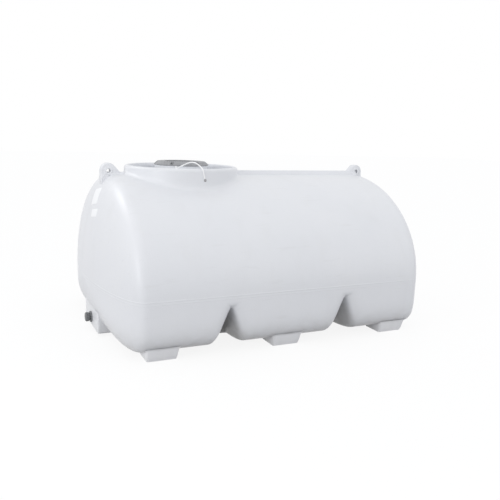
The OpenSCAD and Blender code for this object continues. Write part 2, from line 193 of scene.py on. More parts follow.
# %% a wire for shader arithmetic
class Wire:
    """A shader socket that can be used in sums; numbers and other wires go with it."""

    def __init__(self, tree, socket):
        self.tree = tree
        self.socket = socket

    def math(self, operation, first, second):
        """A Math node on two numbers or wires."""
        return node(self.tree, "Math", {0: first, 1: second}, {"operation": operation})

    def __add__(self, other):
        return self.math("ADD", self, other)

    def __sub__(self, other):
        return self.math("SUBTRACT", self, other)

    def __rsub__(self, other):
        return self.math("SUBTRACT", other, self)

    def __mul__(self, other):
        return self.math("MULTIPLY", self, other)

    def __pow__(self, other):
        return self.math("POWER", self, other)

    __radd__ = __add__
    __rmul__ = __mul__


def node(tree, kind, sockets, settings=None, output=0):
    """A node of a kind, such as "Math": its settings are set first, then its sockets get
    values or wires. What comes back is the wire from one of its outputs."""
    made = tree.nodes.new("ShaderNode" + kind)
    for key, value in (settings or {}).items():
        setattr(made, key, value)
    for key, value in sockets.items():
        if isinstance(value, Wire):
            tree.links.new(value.socket, made.inputs[key])
        else:
            made.inputs[key].default_value = value
    return Wire(tree, made.outputs[output])


# %% a finish: one material with its shader
class Finish:
    """A material: its constant values are set on the shader, its varying ones are wires."""

    def __init__(self, name, colour, **constants):
        self.material = bpy.data.materials.new(name)
        self.material.use_nodes = True
        self.tree = self.material.node_tree
        self.shader = self.tree.nodes["Principled BSDF"]
        self.colour = (*colour, 1.0)
        for key, value in constants.items():
            self.shader.inputs[key.replace("_", " ")].default_value = value
        self.place = self.node("TexCoord", {}, output="Object")

    def node(self, kind, sockets, settings=None, output=0):
        """A node in this finish's own tree."""
        return node(self.tree, kind, sockets, settings, output)

    def noise(self, scale, detail=3.0, stretch=None):
        """Noise over the object's own coordinates; stretch scales these by three numbers."""
        where = self.place
        if stretch:
            where = self.node("Mapping", {"Vector": where, "Scale": stretch})
        sockets = {"Vector": where, "Scale": scale, "Detail": detail}
        return self.node("TexNoise", sockets)

    def axis(self, which):
        """One coordinate of the object's own frame in metres: X, Y or Z."""
        return self.node("SeparateXYZ", {0: self.place}, output=which)

    def between(self, value, low, high):
        """0 below low, 1 above high, and a straight line between."""
        sockets = {"Value": value, "From Min": low, "From Max": high}
        return self.node("MapRange", sockets)

    def patchy(self, scale, detail, low, high, stretch=None):
        """Noise made into patches: 0 below low, 1 above high."""
        return self.between(self.noise(scale, detail, stretch), low, high)

    def tint(self, factor, colour):
        """The finish's colour so far, mixed towards another one."""
        sockets = {0: factor, 6: self.colour, 7: (*colour, 1.0)}
        self.colour = self.node("Mix", sockets, {"data_type": "RGBA"}, output=2)
        self.feed("Base Color", self.colour)

    def feed(self, socket, wire):
        """Leads a wire into one of the shader's sockets."""
        self.tree.links.new(wire.socket, self.shader.inputs[socket])

    def bump(self, height, depth):
        """Relief: height is 0 to 1, and depth is how high 1 stands, in metres."""
        sockets = {"Height": height, "Distance": depth, "Strength": 1.0}
        self.feed("Normal", self.node("Bump", sockets))


# %% [markdown]
# The shell is natural polyethylene: milky white, a little waxy, with the faint pebbled
# skin that the mould's cast surface leaves, and broad cloudy shifts of tone where the
# wall is thicker. Low down it is greyed in patches, and the notches and the underside
# between the lobes are darker still: that is painted shade. Noise at several sizes and the
# place on the tank give this, so it needs no image.


# %% polyethylene
def polyethylene(name, colour, greying_and_shade):
    """Milky white plastic; the last number sets how strongly the lowest part is greyed and how
    much painted shade the notches and the underside get.
    """
    finish = Finish(name, colour, Coat_Weight=0.12, Coat_Roughness=0.28)
    clouds = finish.noise(2.2, 3.0)
    finish.tint(finish.between(clouds, 0.35, 0.75) * 0.55, (0.765, 0.78, 0.81))
    streaks = finish.patchy(6.0, 4.0, 0.52, 0.80, stretch=(1.0, 1.0, 0.22))
    finish.tint(streaks * 0.35, (0.74, 0.745, 0.76))
    # Greyed towards the bottom, in patches.
    low_greying = (1 - finish.between(finish.axis(Z), 0.0, 0.34)) ** 2.0
    spots = finish.patchy(14.0, 5.0, 0.35, 0.7)
    finish.tint(low_greying * (0.35 + spots * 0.65) * greying_and_shade, (0.60, 0.59, 0.575))
    # Painted shade: the notches and the underside between the lobes are darkened, in patches.
    along, across = finish.axis(X), finish.axis(Y)
    notch_shade = (1 - finish.between(across * across, 0.82, 1.01)) * (
        1 - finish.between(along * along, 1.05, 1.30)) * (
        1 - finish.between(finish.axis(Z), 0.22, 0.38))
    finish.tint(notch_shade * (0.55 + spots * 0.25) * greying_and_shade, (0.45, 0.445, 0.44))
    scuffs = finish.patchy(30.0, 6.0, 0.62, 0.75, stretch=(0.15, 1.0, 1.0))
    finish.tint(scuffs * 0.25, (0.70, 0.70, 0.71))
    finish.feed("Roughness", 0.37 + clouds * 0.10 + scuffs * 0.12)
    pebble = finish.noise(330.0, 2.0) * 0.4 + finish.noise(90.0, 3.0) * 0.6
    finish.bump(pebble, 0.0006)
    return finish.material


shell_white = polyethylene("shell_white", (0.80, 0.81, 0.835), 0.95)
# The feet's copy is paler: partly their own lighter colour, partly painted light standing in for
# the light a white floor would throw on them.
foot_white_and_painted_light = polyethylene("foot_white_and_painted_light", (0.96, 0.962, 0.975), 0.04)
boss_white = polyethylene("boss_white", (0.86, 0.868, 0.885), 0.20)
print("materials:", shell_white.name, foot_white_and_painted_light.name, boss_white.name)

# %% [markdown]
# The lid, its gasket and the outlet fittings are dark polypropylene and rubber. The cord
# is white twisted polypropylene, and the screw is zinc-plated steel.


# %% dark plastic, rubber, cord and steel
def dark_plastic(name, colour, grain):
    """Dark moulded plastic that has greyed in the sun, with fine grain and pale worn patches."""
    finish = Finish(name, colour)
    worn = finish.patchy(18.0, 4.0, 0.4, 0.75)
    finish.tint(worn * 0.45, tuple(c * 1.5 + 0.02 for c in colour))
    dusty = finish.patchy(55.0, 5.0, 0.5, 0.8)
    finish.tint(dusty * 0.3, (0.33, 0.325, 0.31))
    finish.feed("Roughness", 0.46 + worn * 0.16)
    finish.bump(finish.noise(grain, 2.0), 0.0004)
    return finish.material


def cord_white():
    """White fibres, with a fine grain."""
    finish = Finish("cord_white", (0.98, 0.98, 0.98))
    grime = finish.patchy(60.0, 4.0, 0.5, 0.8)
    finish.tint(grime * 0.15, (0.86, 0.85, 0.83))
    finish.feed("Roughness", 0.55 + grime * 0.2)
    finish.bump(finish.noise(900.0, 2.0), 0.0005)
    return finish.material


def zinc():
    """Zinc-plated steel with cloudy dulling."""
    finish = Finish("zinc_steel", (0.42, 0.42, 0.43), Metallic=0.9)
    dull = finish.noise(160.0, 4.0)
    finish.tint(finish.between(dull, 0.4, 0.7) * 0.6, (0.26, 0.25, 0.24))
    finish.feed("Roughness", 0.3 + dull * 0.25)
    finish.bump(dull, 0.0001)
    return finish.material


lid_grey = dark_plastic("lid_grey", (0.30, 0.304, 0.315), 240.0)
fitting_grey = dark_plastic("fitting_grey", (0.175, 0.179, 0.185), 260.0)
gasket_rubber = dark_plastic("gasket_rubber", (0.03, 0.03, 0.032), 500.0)
braid = cord_white()
steel = zinc()
print("materials:", len(bpy.data.materials))

# %% [markdown]
# The cord keeps the lid with the tank: 0.40 m of 10 mm rope, tied to the lid's loop and
# held by a screw in the collar. Its route is a smooth curve through the points of the
# solid cord. Three strands twist round each other, so a cross-section is a three-lobed
# ring that turns as it goes along, one turn every 60 mm.

# %% a curve through the cord's points, and a rope
CORD_POINTS = np.array([
    [-692, -221, 1335], [-694, -236, 1337], [-686, -262, 1345], [-668, -298, 1362],
    [-644, -336, 1381], [-618, -374, 1396], [-598, -404, 1397], [-580, -432, 1386],
    [-566, -454, 1371], [-559, -470, 1360], [-555, -482, 1350], [-551, -484, 1334],
    [-546, -483.5, 1314], [-541, -483, 1294], [-538, -483, 1275]]) / 1000
CORD_RADIUS = 0.005


def circles(centres, r, angle, side, up):
    """Circles round centres: centre + r (cos a side + sin a up)."""
    angle = angle[..., None]
    return centres + r[..., None] * (np.cos(angle) * side + np.sin(angle) * up)


def through(points, steps):
    """A smooth curve through points: between two of them, a cubic whose slope at each
    is half the step from the point before to the point after."""
    padded = np.concatenate([points[:1], points, points[-1:]])
    slope = (padded[2:] - padded[:-2]) / 2
    t = np.linspace(0, 1, steps, endpoint=False)[None, :, None]
    a, b = points[:-1, None], points[1:, None]
    da, db = slope[:-1, None], slope[1:, None]
    curve = ((2 * t**3 - 3 * t**2 + 1) * a + (t**3 - 2 * t**2 + t) * da
             + (3 * t**2 - 2 * t**3) * b + (t**3 - t**2) * db)
    return np.concatenate([curve.reshape(-1, 3), points[-1:]])


def rope(route, radius, strands, pitch, around=24):
    """A tube whose radius swells over each strand: r (0.86 + 0.14 |cos(n (a - 2 pi s/p) / 2)|).
    Its ends are closed by rows that shrink to a point."""
    along = unit(np.gradient(route, axis=0))
    across = unit(np.cross(along, [1.0, 0.0, 0.0]))
    up = np.cross(along, across)
    run = np.concatenate([[0], np.cumsum(np.linalg.norm(np.diff(route, axis=0), axis=1))])
    angle = np.linspace(0, 2 * np.pi, around + 1)[None, :]
    lobes = np.abs(np.cos(strands * (angle - 2 * np.pi * run[:, None] / pitch) / 2))
    r = radius * (0.86 + 0.14 * lobes)
    tube = circles(route[:, None], r, angle, across[:, None], up[:, None])
    return np.concatenate([0 * tube[:1] + route[0], tube, 0 * tube[:1] + route[-1]])


# %% the rope along the route
cord_route = through(CORD_POINTS, 14)
tether = piece("tether_rope", [(rope(cord_route, CORD_RADIUS, 3, 0.060), False)], braid,
               "cord", body=None, sharp=60, solids=["tether"])
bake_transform(tether)

# %% [markdown]
# ## The moulded shell
# The section is half an ellipse above the parting line and a squarer superellipse of
# power 6 below it: shares u across and w up with |u|^6 + |w|^6 = 1. Towards each end
# the section shrinks by s = cos(turn)^(2/1.6) while x runs out by sin(turn)^(2/2.2), so
# the end is a full, rounded dome. The same rows serve the outer and the inner skin.

# %% rows along the tank and shares round the section
DOME_ROWS, UPPER_STEPS = 30, 72
SHRINK_POWER, RUN_POWER, LOWER_POWER = 2 / 1.6, 2 / 2.2, 6


def dome_rows(inset):
    """x and shrink s of a dome's rows, from its rim to its pole."""
    turn = np.linspace(0, np.pi / 2, DOME_ROWS + 1)
    s = np.maximum(np.cos(turn), 0) ** SHRINK_POWER
    s[-1] = 0
    return STRAIGHT + (DOME - inset) * np.sin(turn) ** RUN_POWER, s


def rows_along(straight_x, inset):
    """x and shrink s of each row: a dome from its pole, the straight part, a dome."""
    run, s = dome_rows(inset)
    x = np.concatenate([-run[::-1], straight_x, run])
    return x[:, None], np.concatenate([s[::-1], np.ones(len(straight_x)), s])[:, None]


def spaced(*marks):
    """Numbers from mark to mark: spaced(0, (5, 1.0), (2, 3.0)) takes 5 steps to 1, 2 to 3."""
    out = [np.array([marks[0]])]
    for steps, end in marks[1:]:
        out.append(np.linspace(out[-1][-1], end, steps + 1)[1:])
    return np.concatenate(out)


def barrel_height(y, inset=0.0):
    """Height of the barrel over y: seam + high sqrt(1 - (y / half width)^2)."""
    share = np.clip(1 - (y / (HALF_WIDTH - inset)) ** 2, 0, None)
    return SEAM + (TOP - SEAM - inset) * np.sqrt(share)


def other_share(u):
    """The share w that goes with u on the lower section: |u|^6 + |w|^6 = 1."""
    return (1 - np.abs(u) ** LOWER_POWER) ** (1 / LOWER_POWER)


upper_angle = np.linspace(0, np.pi, UPPER_STEPS + 1)[None, :]
print("rows in a dome:", DOME_ROWS, "steps round the upper section:", UPPER_STEPS)

# %% [markdown]
# The collar grows out of the barrel: a block of the grid round the manway is left out,
# and rings take its place. They start on the block's own edge points, close to a circle
# on the barrel, sweep up a fillet, climb the flank, roll over the rim, drop to the well
# floor, rise over the threaded neck and pass down through the manway to the inner skin.

# %% the upper moulding: skins with a gap for the manway
BLOCK_COLUMNS, BLOCK_ROWS = 23, 40
block_reach = HALF_WIDTH * math.cos(math.pi * BLOCK_COLUMNS / UPPER_STEPS)
straight_rows = spaced(-STRAIGHT, (1, MANWAY_X - block_reach),
                       (BLOCK_ROWS, MANWAY_X + block_reach), (34, STRAIGHT))
first_row = DOME_ROWS + 2
last_row = first_row + BLOCK_ROWS


def upper_skin(inset):
    """Grid of one skin: x; (half width - inset) s cos a; seam + (high - inset) s sin a."""
    x, s = rows_along(straight_rows, inset)
    y = (HALF_WIDTH - inset) * s * np.cos(upper_angle)
    z = SEAM + (TOP - SEAM - inset) * s * np.sin(upper_angle)
    return at(x, y, z)


def around_block(skin):
    """The four patches that surround the block, and the loop of points on its edge."""
    a, b = BLOCK_COLUMNS, UPPER_STEPS - BLOCK_COLUMNS
    inside = skin[first_row:last_row + 1]
    patches = [skin[:first_row + 1], skin[last_row:], inside[:, :a + 1], inside[:, b:]]
    loop = np.concatenate([inside[:-1, a], inside[-1, a:b], inside[:0:-1, b],
                           inside[0, b:a - 1:-1]])
    return patches, loop


outer_upper, inner_upper = upper_skin(0.0), upper_skin(WALL)
outer_patches, outer_loop = around_block(outer_upper)
inner_patches, inner_loop = around_block(inner_upper)
print("points round the manway:", len(outer_loop) - 1)

# %% rings of the collar, the well and the neck
FILLET, RIM, LIP, WELL_CURVE = 0.036, 0.026, 0.010, 0.016
WELL_WALL = COLLAR - WALL
turn_at = np.arctan2(outer_loop[:, 1], outer_loop[:, 0] - MANWAY_X)


def round_manway(radius, turn, height):
    """Points round the manway's axis: x + r cos turn, r sin turn, height."""
    return at(MANWAY_X + radius * np.cos(turn), radius * np.sin(turn), height)


def ring(radius, height):
    """A ring round the manway: radius and height may be numbers or one value a point."""
    return round_manway(radius, turn_at, height)


def spread(loop, radius, inset, shares):
    """Rings on the barrel between the block's edge and a circle of that radius."""
    flat = [loop * (1 - share) + ring(radius, 0.0) * share for share in shares]
    return [at(x, y, barrel_height(y, inset)) for x, y, _ in (points.T for points in flat)]


def arc(centre_r, centre_z, radius, start, end, steps):
    """Rings on a quarter or half of a small circle, in degrees, in the r-z plane."""
    turns = np.radians(np.linspace(start, end, steps + 1))
    return [ring(centre_r + radius * np.cos(t), centre_z + radius * np.sin(t)) for t in turns]


def at_barrel(radius, inset=0.0):
    """Height of the barrel under each point of a circle round the manway."""
    return barrel_height(radius * np.sin(turn_at), inset)


collar_rings = spread(outer_loop, COLLAR + FILLET, 0.0, np.linspace(0, 1, 9))
for out, up in quarter(FILLET, 8)[1:]:
    collar_rings.append(ring(COLLAR + out, at_barrel(COLLAR + out) + up))
flank_foot = at_barrel(COLLAR) + FILLET
for share in np.linspace(0, 1, 7)[1:-1]:
    collar_rings.append(ring(COLLAR, flank_foot * (1 - share) + (COLLAR_TOP - RIM) * share))
collar_rings += arc(COLLAR - RIM, COLLAR_TOP - RIM, RIM, 0, 90, 12)
collar_rings += arc(COLLAR - RIM, COLLAR_TOP - LIP, LIP, 90, 180, 6)[1:]
for t in np.linspace(0, 1, 7):
    under_lip = (RIM + LIP - WALL) * (1 - smooth_step(t))
    collar_rings.append(ring(WELL_WALL - under_lip, COLLAR_TOP - LIP - 0.014 - 0.030 * t))
collar_rings += arc(WELL_WALL - WELL_CURVE, WELL + WELL_CURVE, WELL_CURVE, 0, -90, 8)
print("rings so far:", len(collar_rings))

# %% [markdown]
# The neck carries a coarse thread for the lid. A thread is a helix: the bump's height
# depends on z less the share of a turn times the pitch, so it climbs one pitch a turn.
# A white lip above the thread holds the gasket and shows as a pale line under the lid.

# %% the threaded neck and the way down to the inner skin
THREAD_PITCH, THREAD_DEPTH, THREAD_END = 0.014, 0.004, 0.006
THREAD_LOW, THREAD_HIGH = WELL + 0.018, NECK_TOP - 0.010
BORE, LIP_TOP = NECK - WALL, NECK_TOP + 0.017


def threaded(height):
    """Radius of the neck at a height: a rounded ridge along a helix, fading at both ends."""
    phase = (height - WELL) / THREAD_PITCH - turn_at / (2 * np.pi)
    ridge = np.clip(np.cos(2 * np.pi * phase) * 1.6, 0, 1)
    ends = np.clip([(height - THREAD_LOW) / THREAD_END, (THREAD_HIGH - height) / THREAD_END], 0, 1)
    return NECK + THREAD_DEPTH * ridge * ends.prod()


collar_rings += arc(NECK + 0.010, WELL + 0.010, 0.010, 270, 180, 6)
for height in np.linspace(WELL + 0.012, NECK_TOP - 0.010, 36):
    collar_rings.append(ring(threaded(height), height))
collar_rings += [ring(NECK + reach, NECK_TOP + height) for reach, height in
                 [(0.001, -0.009), (0.007, -0.005), (0.008, -0.003), (0.008, 0.013)]]
collar_rings += arc(NECK + 0.0045, LIP_TOP - 0.0035, 0.0035, 0, 180, 8)
collar_rings.append(ring(NECK + 0.001, NECK_TOP))
collar_rings += arc(BORE + 0.004, NECK_TOP - 0.004, 0.004, 90, 180, 5)
collar_rings += arc(BORE + 0.010, WELL - WALL + 0.010, 0.010, 180, 270, 5)
collar_rings.append(ring(WELL_WALL - 0.012, WELL - WALL))
collar_rings += arc(WELL_WALL - 0.012, WELL - WALL - 0.012, 0.012, 90, 0, 4)
collar_rings.append(ring(WELL_WALL, np.minimum(at_barrel(WELL_WALL, WALL), WELL - 0.026)))
collar_rings += spread(inner_loop, WELL_WALL, WALL, np.linspace(1, 0, 7))
manway = np.stack(collar_rings)
print("manway rings:", manway.shape[0])


# %% join the skins at the parting line
def joined(name, patches, outer, inner, solids):
    """A shell from its patches and, on both sides, the flat edge between its two skins."""
    edges = [(np.stack([outer[:, side], inner[:, side]]), side < 0) for side in (0, -1)]
    piece(name, patches + edges, shell_white, "shell", sharp=50, solids=solids)


upper_patches = [(p, False) for p in outer_patches] + [(p, True) for p in inner_patches]
joined("upper_moulding", upper_patches + [(manway, True)], outer_upper, inner_upper,
       ["barrel_upper", "collar", "collar_fillet", "well_floor", "manway_neck"])

# %% [markdown]
# ## The lobes
# Two notches on each side part the lower body into three lobes. A notch has a rounded
# peak and straight, steep flanks: its height is H = top - k (sqrt(d^2 + tip^2) - tip) for
# a distance d along the tank from its middle. Where the notch stands higher than the
# body's bottom, the whole lower section is squeezed up to it, so the rounded lower corner
# follows the flank, and a wide smooth maximum of the two heights spreads the notch's foot
# into the lobe. It fades out at its inner end, and its upright corners are rounded.

# %% notch formulas
NOTCH_X, NOTCH_TOP, NOTCH_INNER, NOTCH_CORNER = 0.5, 0.340, 0.58, 0.05
NOTCH_BASE, NOTCH_TIP, NOTCH_RAMP, NOTCH_BLEND = -0.1, 0.012, 0.04, 0.14
NOTCH_REACH = 0.105
NOTCH_SLOPE = NOTCH_TOP / NOTCH_REACH
print("notches", 2 * NOTCH_REACH, "wide at the floor, at x = +-", NOTCH_X)


def notch_height(x, y, inset):
    """Height of the notch surface over the point x, y, for the outer or the inner skin."""
    radius = NOTCH_CORNER - inset
    into = np.clip(np.abs(y) - HALF_WIDTH + NOTCH_CORNER, 0, radius)
    flare = radius - np.sqrt(radius**2 - into**2)
    d = np.maximum(np.abs(np.abs(x) - NOTCH_X) - inset - flare, 0)
    fall = NOTCH_SLOPE * (np.sqrt(d**2 + NOTCH_TIP**2) - NOTCH_TIP)
    openness = smooth_step((np.abs(y) - NOTCH_INNER + inset + NOTCH_RAMP / 2) / NOTCH_RAMP)
    top = NOTCH_TOP + inset - NOTCH_BASE
    return NOTCH_BASE + np.maximum(top - fall, 0) * openness


def squeezed(x, y, z, inset):
    """Section heights squeezed towards the seam, so that they clear the notch."""
    bottom = CLEARANCE + inset
    height = notch_height(x, y, inset)
    t = np.clip(0.5 + 0.5 * (height - bottom) / NOTCH_BLEND, 0, 1)
    raised = bottom * (1 - t) + height * t + NOTCH_BLEND * t * (1 - t)
    return SEAM + (z - SEAM) * (SEAM - raised) / (SEAM - bottom)


# %% the lower moulding
def lower_angles(side, corner, floor_steps, ramp, middle):
    """Angles round the lower section, from -y under the tank to +y: even steps of height
    down the side, of angle round the corner, and of width along the floor."""
    w = spaced(0, (side, 0.80))
    u = spaced(0.80, (floor_steps, 0.604), (ramp, 0.530), (middle, 0.0))
    down = np.arctan2(w, other_share(w))
    along = np.arctan2(other_share(u), u)
    half = np.concatenate([down, np.linspace(down[-1], along[0], corner + 1)[1:-1], along])
    return np.concatenate([np.pi - half, half[-2::-1]])[None]


def notch_rows(fine):
    """Rows along the straight part, close together over each notch and its foot."""
    away = spaced(0, (fine + 8, 0.10), (fine, 0.18), (fine // 2, 0.25))
    beside = np.concatenate([-away[:0:-1], away])
    between, end = np.linspace(-0.22, 0.22, 12), np.linspace(NOTCH_X + 0.27, STRAIGHT, 12)
    return np.concatenate([-end[::-1], -NOTCH_X + beside, between, NOTCH_X + beside, end])


def lower_skin(angles, straight_x, inset):
    """Grid of one skin: shares r cos a and r sin a with r = (|cos a|^p + |sin a|^p)^(-1/p)."""
    x, s = rows_along(straight_x, inset)
    across, down = np.abs(np.cos(angles)), np.abs(np.sin(angles))
    r = (across**LOWER_POWER + down**LOWER_POWER) ** (-1 / LOWER_POWER)
    y = (HALF_WIDTH - inset) * s * r * np.cos(angles)
    z = squeezed(x, y, SEAM - (SEAM - CLEARANCE - inset) * s * r * down, inset)
    return at(x, y, z)


lower_rows = notch_rows(12)
outer_lower = lower_skin(lower_angles(28, 24, 12, 14, 8), lower_rows, 0.0)
inner_lower = lower_skin(lower_angles(12, 8, 7, 8, 4), lower_rows, WALL)
joined("lower_moulding", [(outer_lower, False), (inner_lower, True)], outer_lower, inner_lower,
       ["lobe_front", "lobe_middle", "lobe_rear", "end_front", "end_rear"])
print("lower grid:", outer_lower.shape[:2], "inner grid:", inner_lower.shape[:2])

# %% [markdown]
# The parting line is where the two halves of the mould met. It leaves a fine ridge all
# round, and a second, fainter one where the lower half's flange ended. Both lie on a
# band: a profile of offsets d over heights z, carried along the outline of the body.


# %% the parting band
def band_row(offset, height):
    """The body's outline from above, moved out by an offset, at a height over the seam."""
    run, s = dome_rows(-offset)
    quarter = at(run, (HALF_WIDTH + offset) * s)
    half = np.concatenate([quarter, quarter[-2::-1] * [1, -1]])
    outline = np.concatenate([half, -half, half[:1]])
    return at(*outline.T, SEAM + height)


band_z = spaced(-0.032, (2, -0.028), (10, -0.018), (6, -0.006), (12, 0.006), (2, 0.009))
shelf = smooth_step((band_z + 0.032) / 0.010) * smooth_step((0.009 - band_z) / 0.008)
band_d = (-0.002 + 0.0022 * shelf + 0.0008 * np.exp(-(band_z / 0.0045) ** 2)
          + 0.0005 * np.exp(-((band_z + 0.023) / 0.0045) ** 2))
behind = [(-0.006, band_z[-1]), (-0.006, band_z[0]), (band_d[0], band_z[0])]
band_rows = np.stack([band_row(d, z) for d, z in [*zip(band_d, band_z), *behind]])
piece("parting_band", [(band_rows, True)], shell_white, "shell", sharp=70, solids=["seam_rib"])

# %% [markdown]
# ## Ridge and lifting eyes
# A ridge runs along the crown from the collar to the rear lifting eye, and a short, low
# one before the collar. Each is a raised strip: its height over y is the barrel's height
# plus h times a rounded step, so it has soft shoulders and a soft foot.


# %% ridges
RIDGE_HALF, RIDGE_SHOULDER = 0.046, 0.020
EYE_RADIUS = 0.063
EYE_X, _, EYE_Z = Box("lifting_eye_rear").high - EYE_RADIUS


def ridge_strip(which, xs, height):
    """Top: barrel(y) + height smooth((half - |y|) / shoulder); the underside is in the wall."""
    y = RIDGE_HALF * np.sin(np.linspace(-np.pi / 2, np.pi / 2, 33))
    lift = height * smooth_step((RIDGE_HALF - np.abs(y)) / RIDGE_SHOULDER)
    x, y = np.meshgrid(xs, y, indexing="ij")
    collar_side = np.sqrt(np.maximum((COLLAR - 0.006) ** 2 - y**2, 0))
    x = np.where(x > MANWAY_X, np.maximum(x, MANWAY_X + collar_side),
                 np.minimum(x, MANWAY_X - collar_side))
    top = at(x, y, barrel_height(y) - 0.001 + lift)
    under = at(x, y, barrel_height(y) - 0.008)
    edges = [(np.s_[:, 0], False), (np.s_[:, -1], True), (0, True), (-1, False)]
    walls = [(np.stack([top[edge], under[edge]]), flipped) for edge, flipped in edges]
    piece(f"crown_ridge_{which}", [(top, True), (under, False)] + walls, shell_white, "shell",
          sharp=60, solids=[f"ridge_{which}"])


ridge_strip("rear", np.linspace(MANWAY_X + COLLAR - 0.03, EYE_X, 60), 0.034)
ridge_strip("front", np.linspace(-EYE_X, MANWAY_X - COLLAR + 0.03, 16), 0.017)

# %% [markdown]
# A lifting eye is a thick upright lug with a hole through it, moulded with the shell. Its
# outline is a circle that runs down into a straight back and a sloping gusset. Seen from
# the hole's middle the outline has one radius for each direction, so rows of the surface
# go from the hole's wall over a raised ring, the face, a rounded edge and the side.

# %% the eye's sizes and outline
EYE_BORE, EYE_HALF, EYE_FOOT, EYE_TOE = 0.017, 0.036, -0.110, 0.130
EYE_FACE, EYE_EDGE, EYE_LEAN = EYE_HALF - 0.0025, 0.012, math.radians(42)


def eye_outline(direction):
    """Distance from the hole to the outline: the nearest of the circle's far side, the
    upright back, the foot, and the gusset that slopes down from the circle at 48 degrees."""
    c, s = np.cos(direction), np.sin(direction)
    slope = np.cos(direction - EYE_LEAN)
    with np.errstate(divide="ignore", invalid="ignore"):
        walls = [np.where(c < 0, -EYE_RADIUS / c, np.inf), np.where(s < 0, EYE_FOOT / s, np.inf),
                 np.where(slope > 0, EYE_RADIUS / slope, np.inf),
                 np.where(c > 0, EYE_TOE / c, np.inf)]
    round_part = (direction >= EYE_LEAN) & (direction <= np.pi)
    return np.where(round_part, EYE_RADIUS, np.min(walls, axis=0))


# %% the eye's surface
def lifting_eye(which, side):
    """Rows of (distance, half width) from the hole to the rim, then the same on the far side.
    Low down the width grows by a smooth flare; side is the end of the tank, 1 or -1."""
    direction = np.linspace(0, 2 * np.pi, 145)
    rim = eye_outline(direction)
    rows = [(EYE_BORE + out, EYE_HALF + 0.003 - down) for down, out in quarter(0.004, 6)]
    rows += [(EYE_BORE + 0.009, EYE_HALF + 0.003), (EYE_BORE + 0.012, EYE_HALF + 0.002),
             (EYE_BORE + 0.015, EYE_HALF - 0.001), (EYE_BORE + 0.018, EYE_FACE)]
    rows += [(rim - back, EYE_FACE - down) for back, down in quarter(EYE_EDGE, 7)]
    near = np.stack([at(r + 0 * rim, w) for r, w in rows])
    r, w = np.moveaxis(np.concatenate([near, near[::-1] * [1, -1], near[:1]]), -1, 0)
    w = w + np.sign(w) * 0.016 * smooth_step((-0.020 - r * np.sin(direction)) / 0.035) ** 2
    grid = at(side * (EYE_X - r * np.cos(direction)), w, EYE_Z + r * np.sin(direction))
    piece(f"eye_{which}", [(grid, side > 0)], shell_white, "shell", sharp=50,
          solids=[f"lifting_eye_{which}"])


lifting_eye("rear", 1)
lifting_eye("front", -1)

# %% [markdown]
# ## Feet and outlet boss
# Two feet stand under each lobe. A foot is a stack of rounded rectangles that runs from
# the floor into the lobe: it widens upwards, its outer side leans out a little, and its
# last rows flare into a small fillet where it meets the lobe.


# %% a rounded rectangle
LONG_SIDE = 0.03


def rounded_loop(half_x, half_y, radius, per_side=8):
    """Offsets of a rounded rectangle, anticlockwise and closed: the corners' arcs in turn,
    and four points more along each long side."""
    turn = np.linspace(0, np.pi / 2, per_side + 1)
    corners = []
    for k, (sx, sy) in enumerate([(1, 1), (-1, 1), (-1, -1), (1, -1)]):
        a = turn + k * np.pi / 2
        corners.append(at(sx * (half_x - radius) + radius * np.cos(a),
                          sy * (half_y - radius) + radius * np.sin(a)))
    runs = []
    for corner, after in zip(corners, corners[1:] + corners[:1]):
        side = after[0] - corner[-1]
        between = corner[-1] + side * np.linspace(0, 1, 6)[1:-1, None]
        runs += [corner, between] if np.linalg.norm(side) > LONG_SIDE else [corner]
    return np.concatenate(runs + [corners[0][:1]])


# %% feet
def lobe_height(y):
    """Height of the lobe's underside over y, away from the notches."""
    return SEAM - (SEAM - CLEARANCE) * other_share(np.clip(np.abs(y) / HALF_WIDTH, 0, 1))


FOOT_LEAN, FLOOR_SHARE, FOOT_EDGE = 0.040, 0.92, 0.010
foot_box = Box("foot_middle_left")
foot_inner, foot_outer = foot_box.low[Y], foot_box.high[Y] + 0.015
foot_rise = lobe_height(foot_outer)
print("foot from y", round(foot_inner, 3), "to", round(foot_outer, 3))


def foot(place, hand, side):
    """Rounded rectangles from the floor's edge up; a point's height runs to the lobe over
    it, and the higher it is, the longer the foot is and the further its outer side leans."""
    outer_floor = foot_outer - FOOT_LEAN
    middle, half = (outer_floor + foot_inner) / 2, (outer_floor - foot_inner) / 2
    base = rounded_loop(foot_box.half[X] * FLOOR_SHARE, half, 0.014)
    y = middle + base[:, 1]
    lean = FOOT_LEAN * (y - foot_inner) / (2 * half)
    top = lobe_height(y + lean * 0.9) + 0.004
    rows = [at(base[:, 0] * grow, middle + base[:, 1] * grow, z) for z, grow in
            [(0, 0), (0, 0.93), (0.0013, 0.965), (0.005, 0.99), (FOOT_EDGE, 1)]]
    for t in np.linspace(0.1, 1, 14)[1:]:
        z = FOOT_EDGE + (top - FOOT_EDGE) * t
        out = unit(base + 1e-9) * 0.012 * np.clip((t - 0.75) / 0.25, 0, 1) ** 3
        widen = 1 + (1 / FLOOR_SHARE - 1) * z / foot_rise
        rows.append(at(base[:, 0] * widen + out[:, 0], y + lean * z / foot_rise + out[:, 1], z))
    rows.append(at(0 * y, middle, 0.03))
    grid = np.stack(rows) * [1, side, 1] + [Box(f"foot_{place}_left").middle[X], 0, 0]
    piece(f"pad_{place}_{hand}", [(grid, side < 0)], foot_white_and_painted_light, "foot", sharp=60,
          solids=[f"foot_{place}_{hand}"])


for place in ("front", "middle", "rear"):
    foot(place, "left", 1)
    foot(place, "right", -1)

# %% [markdown]
# The outlet sits in a flat boss that stands out of the front end, low down in the middle.
# The boss is a rounded block carried up to the parting line; its back is inside the dome.

# %% outlet boss
BOSS_EDGE, BOSS_TOP = 0.012, SEAM - 0.012
boss_face, _, boss_floor = Box("outlet_boss").low


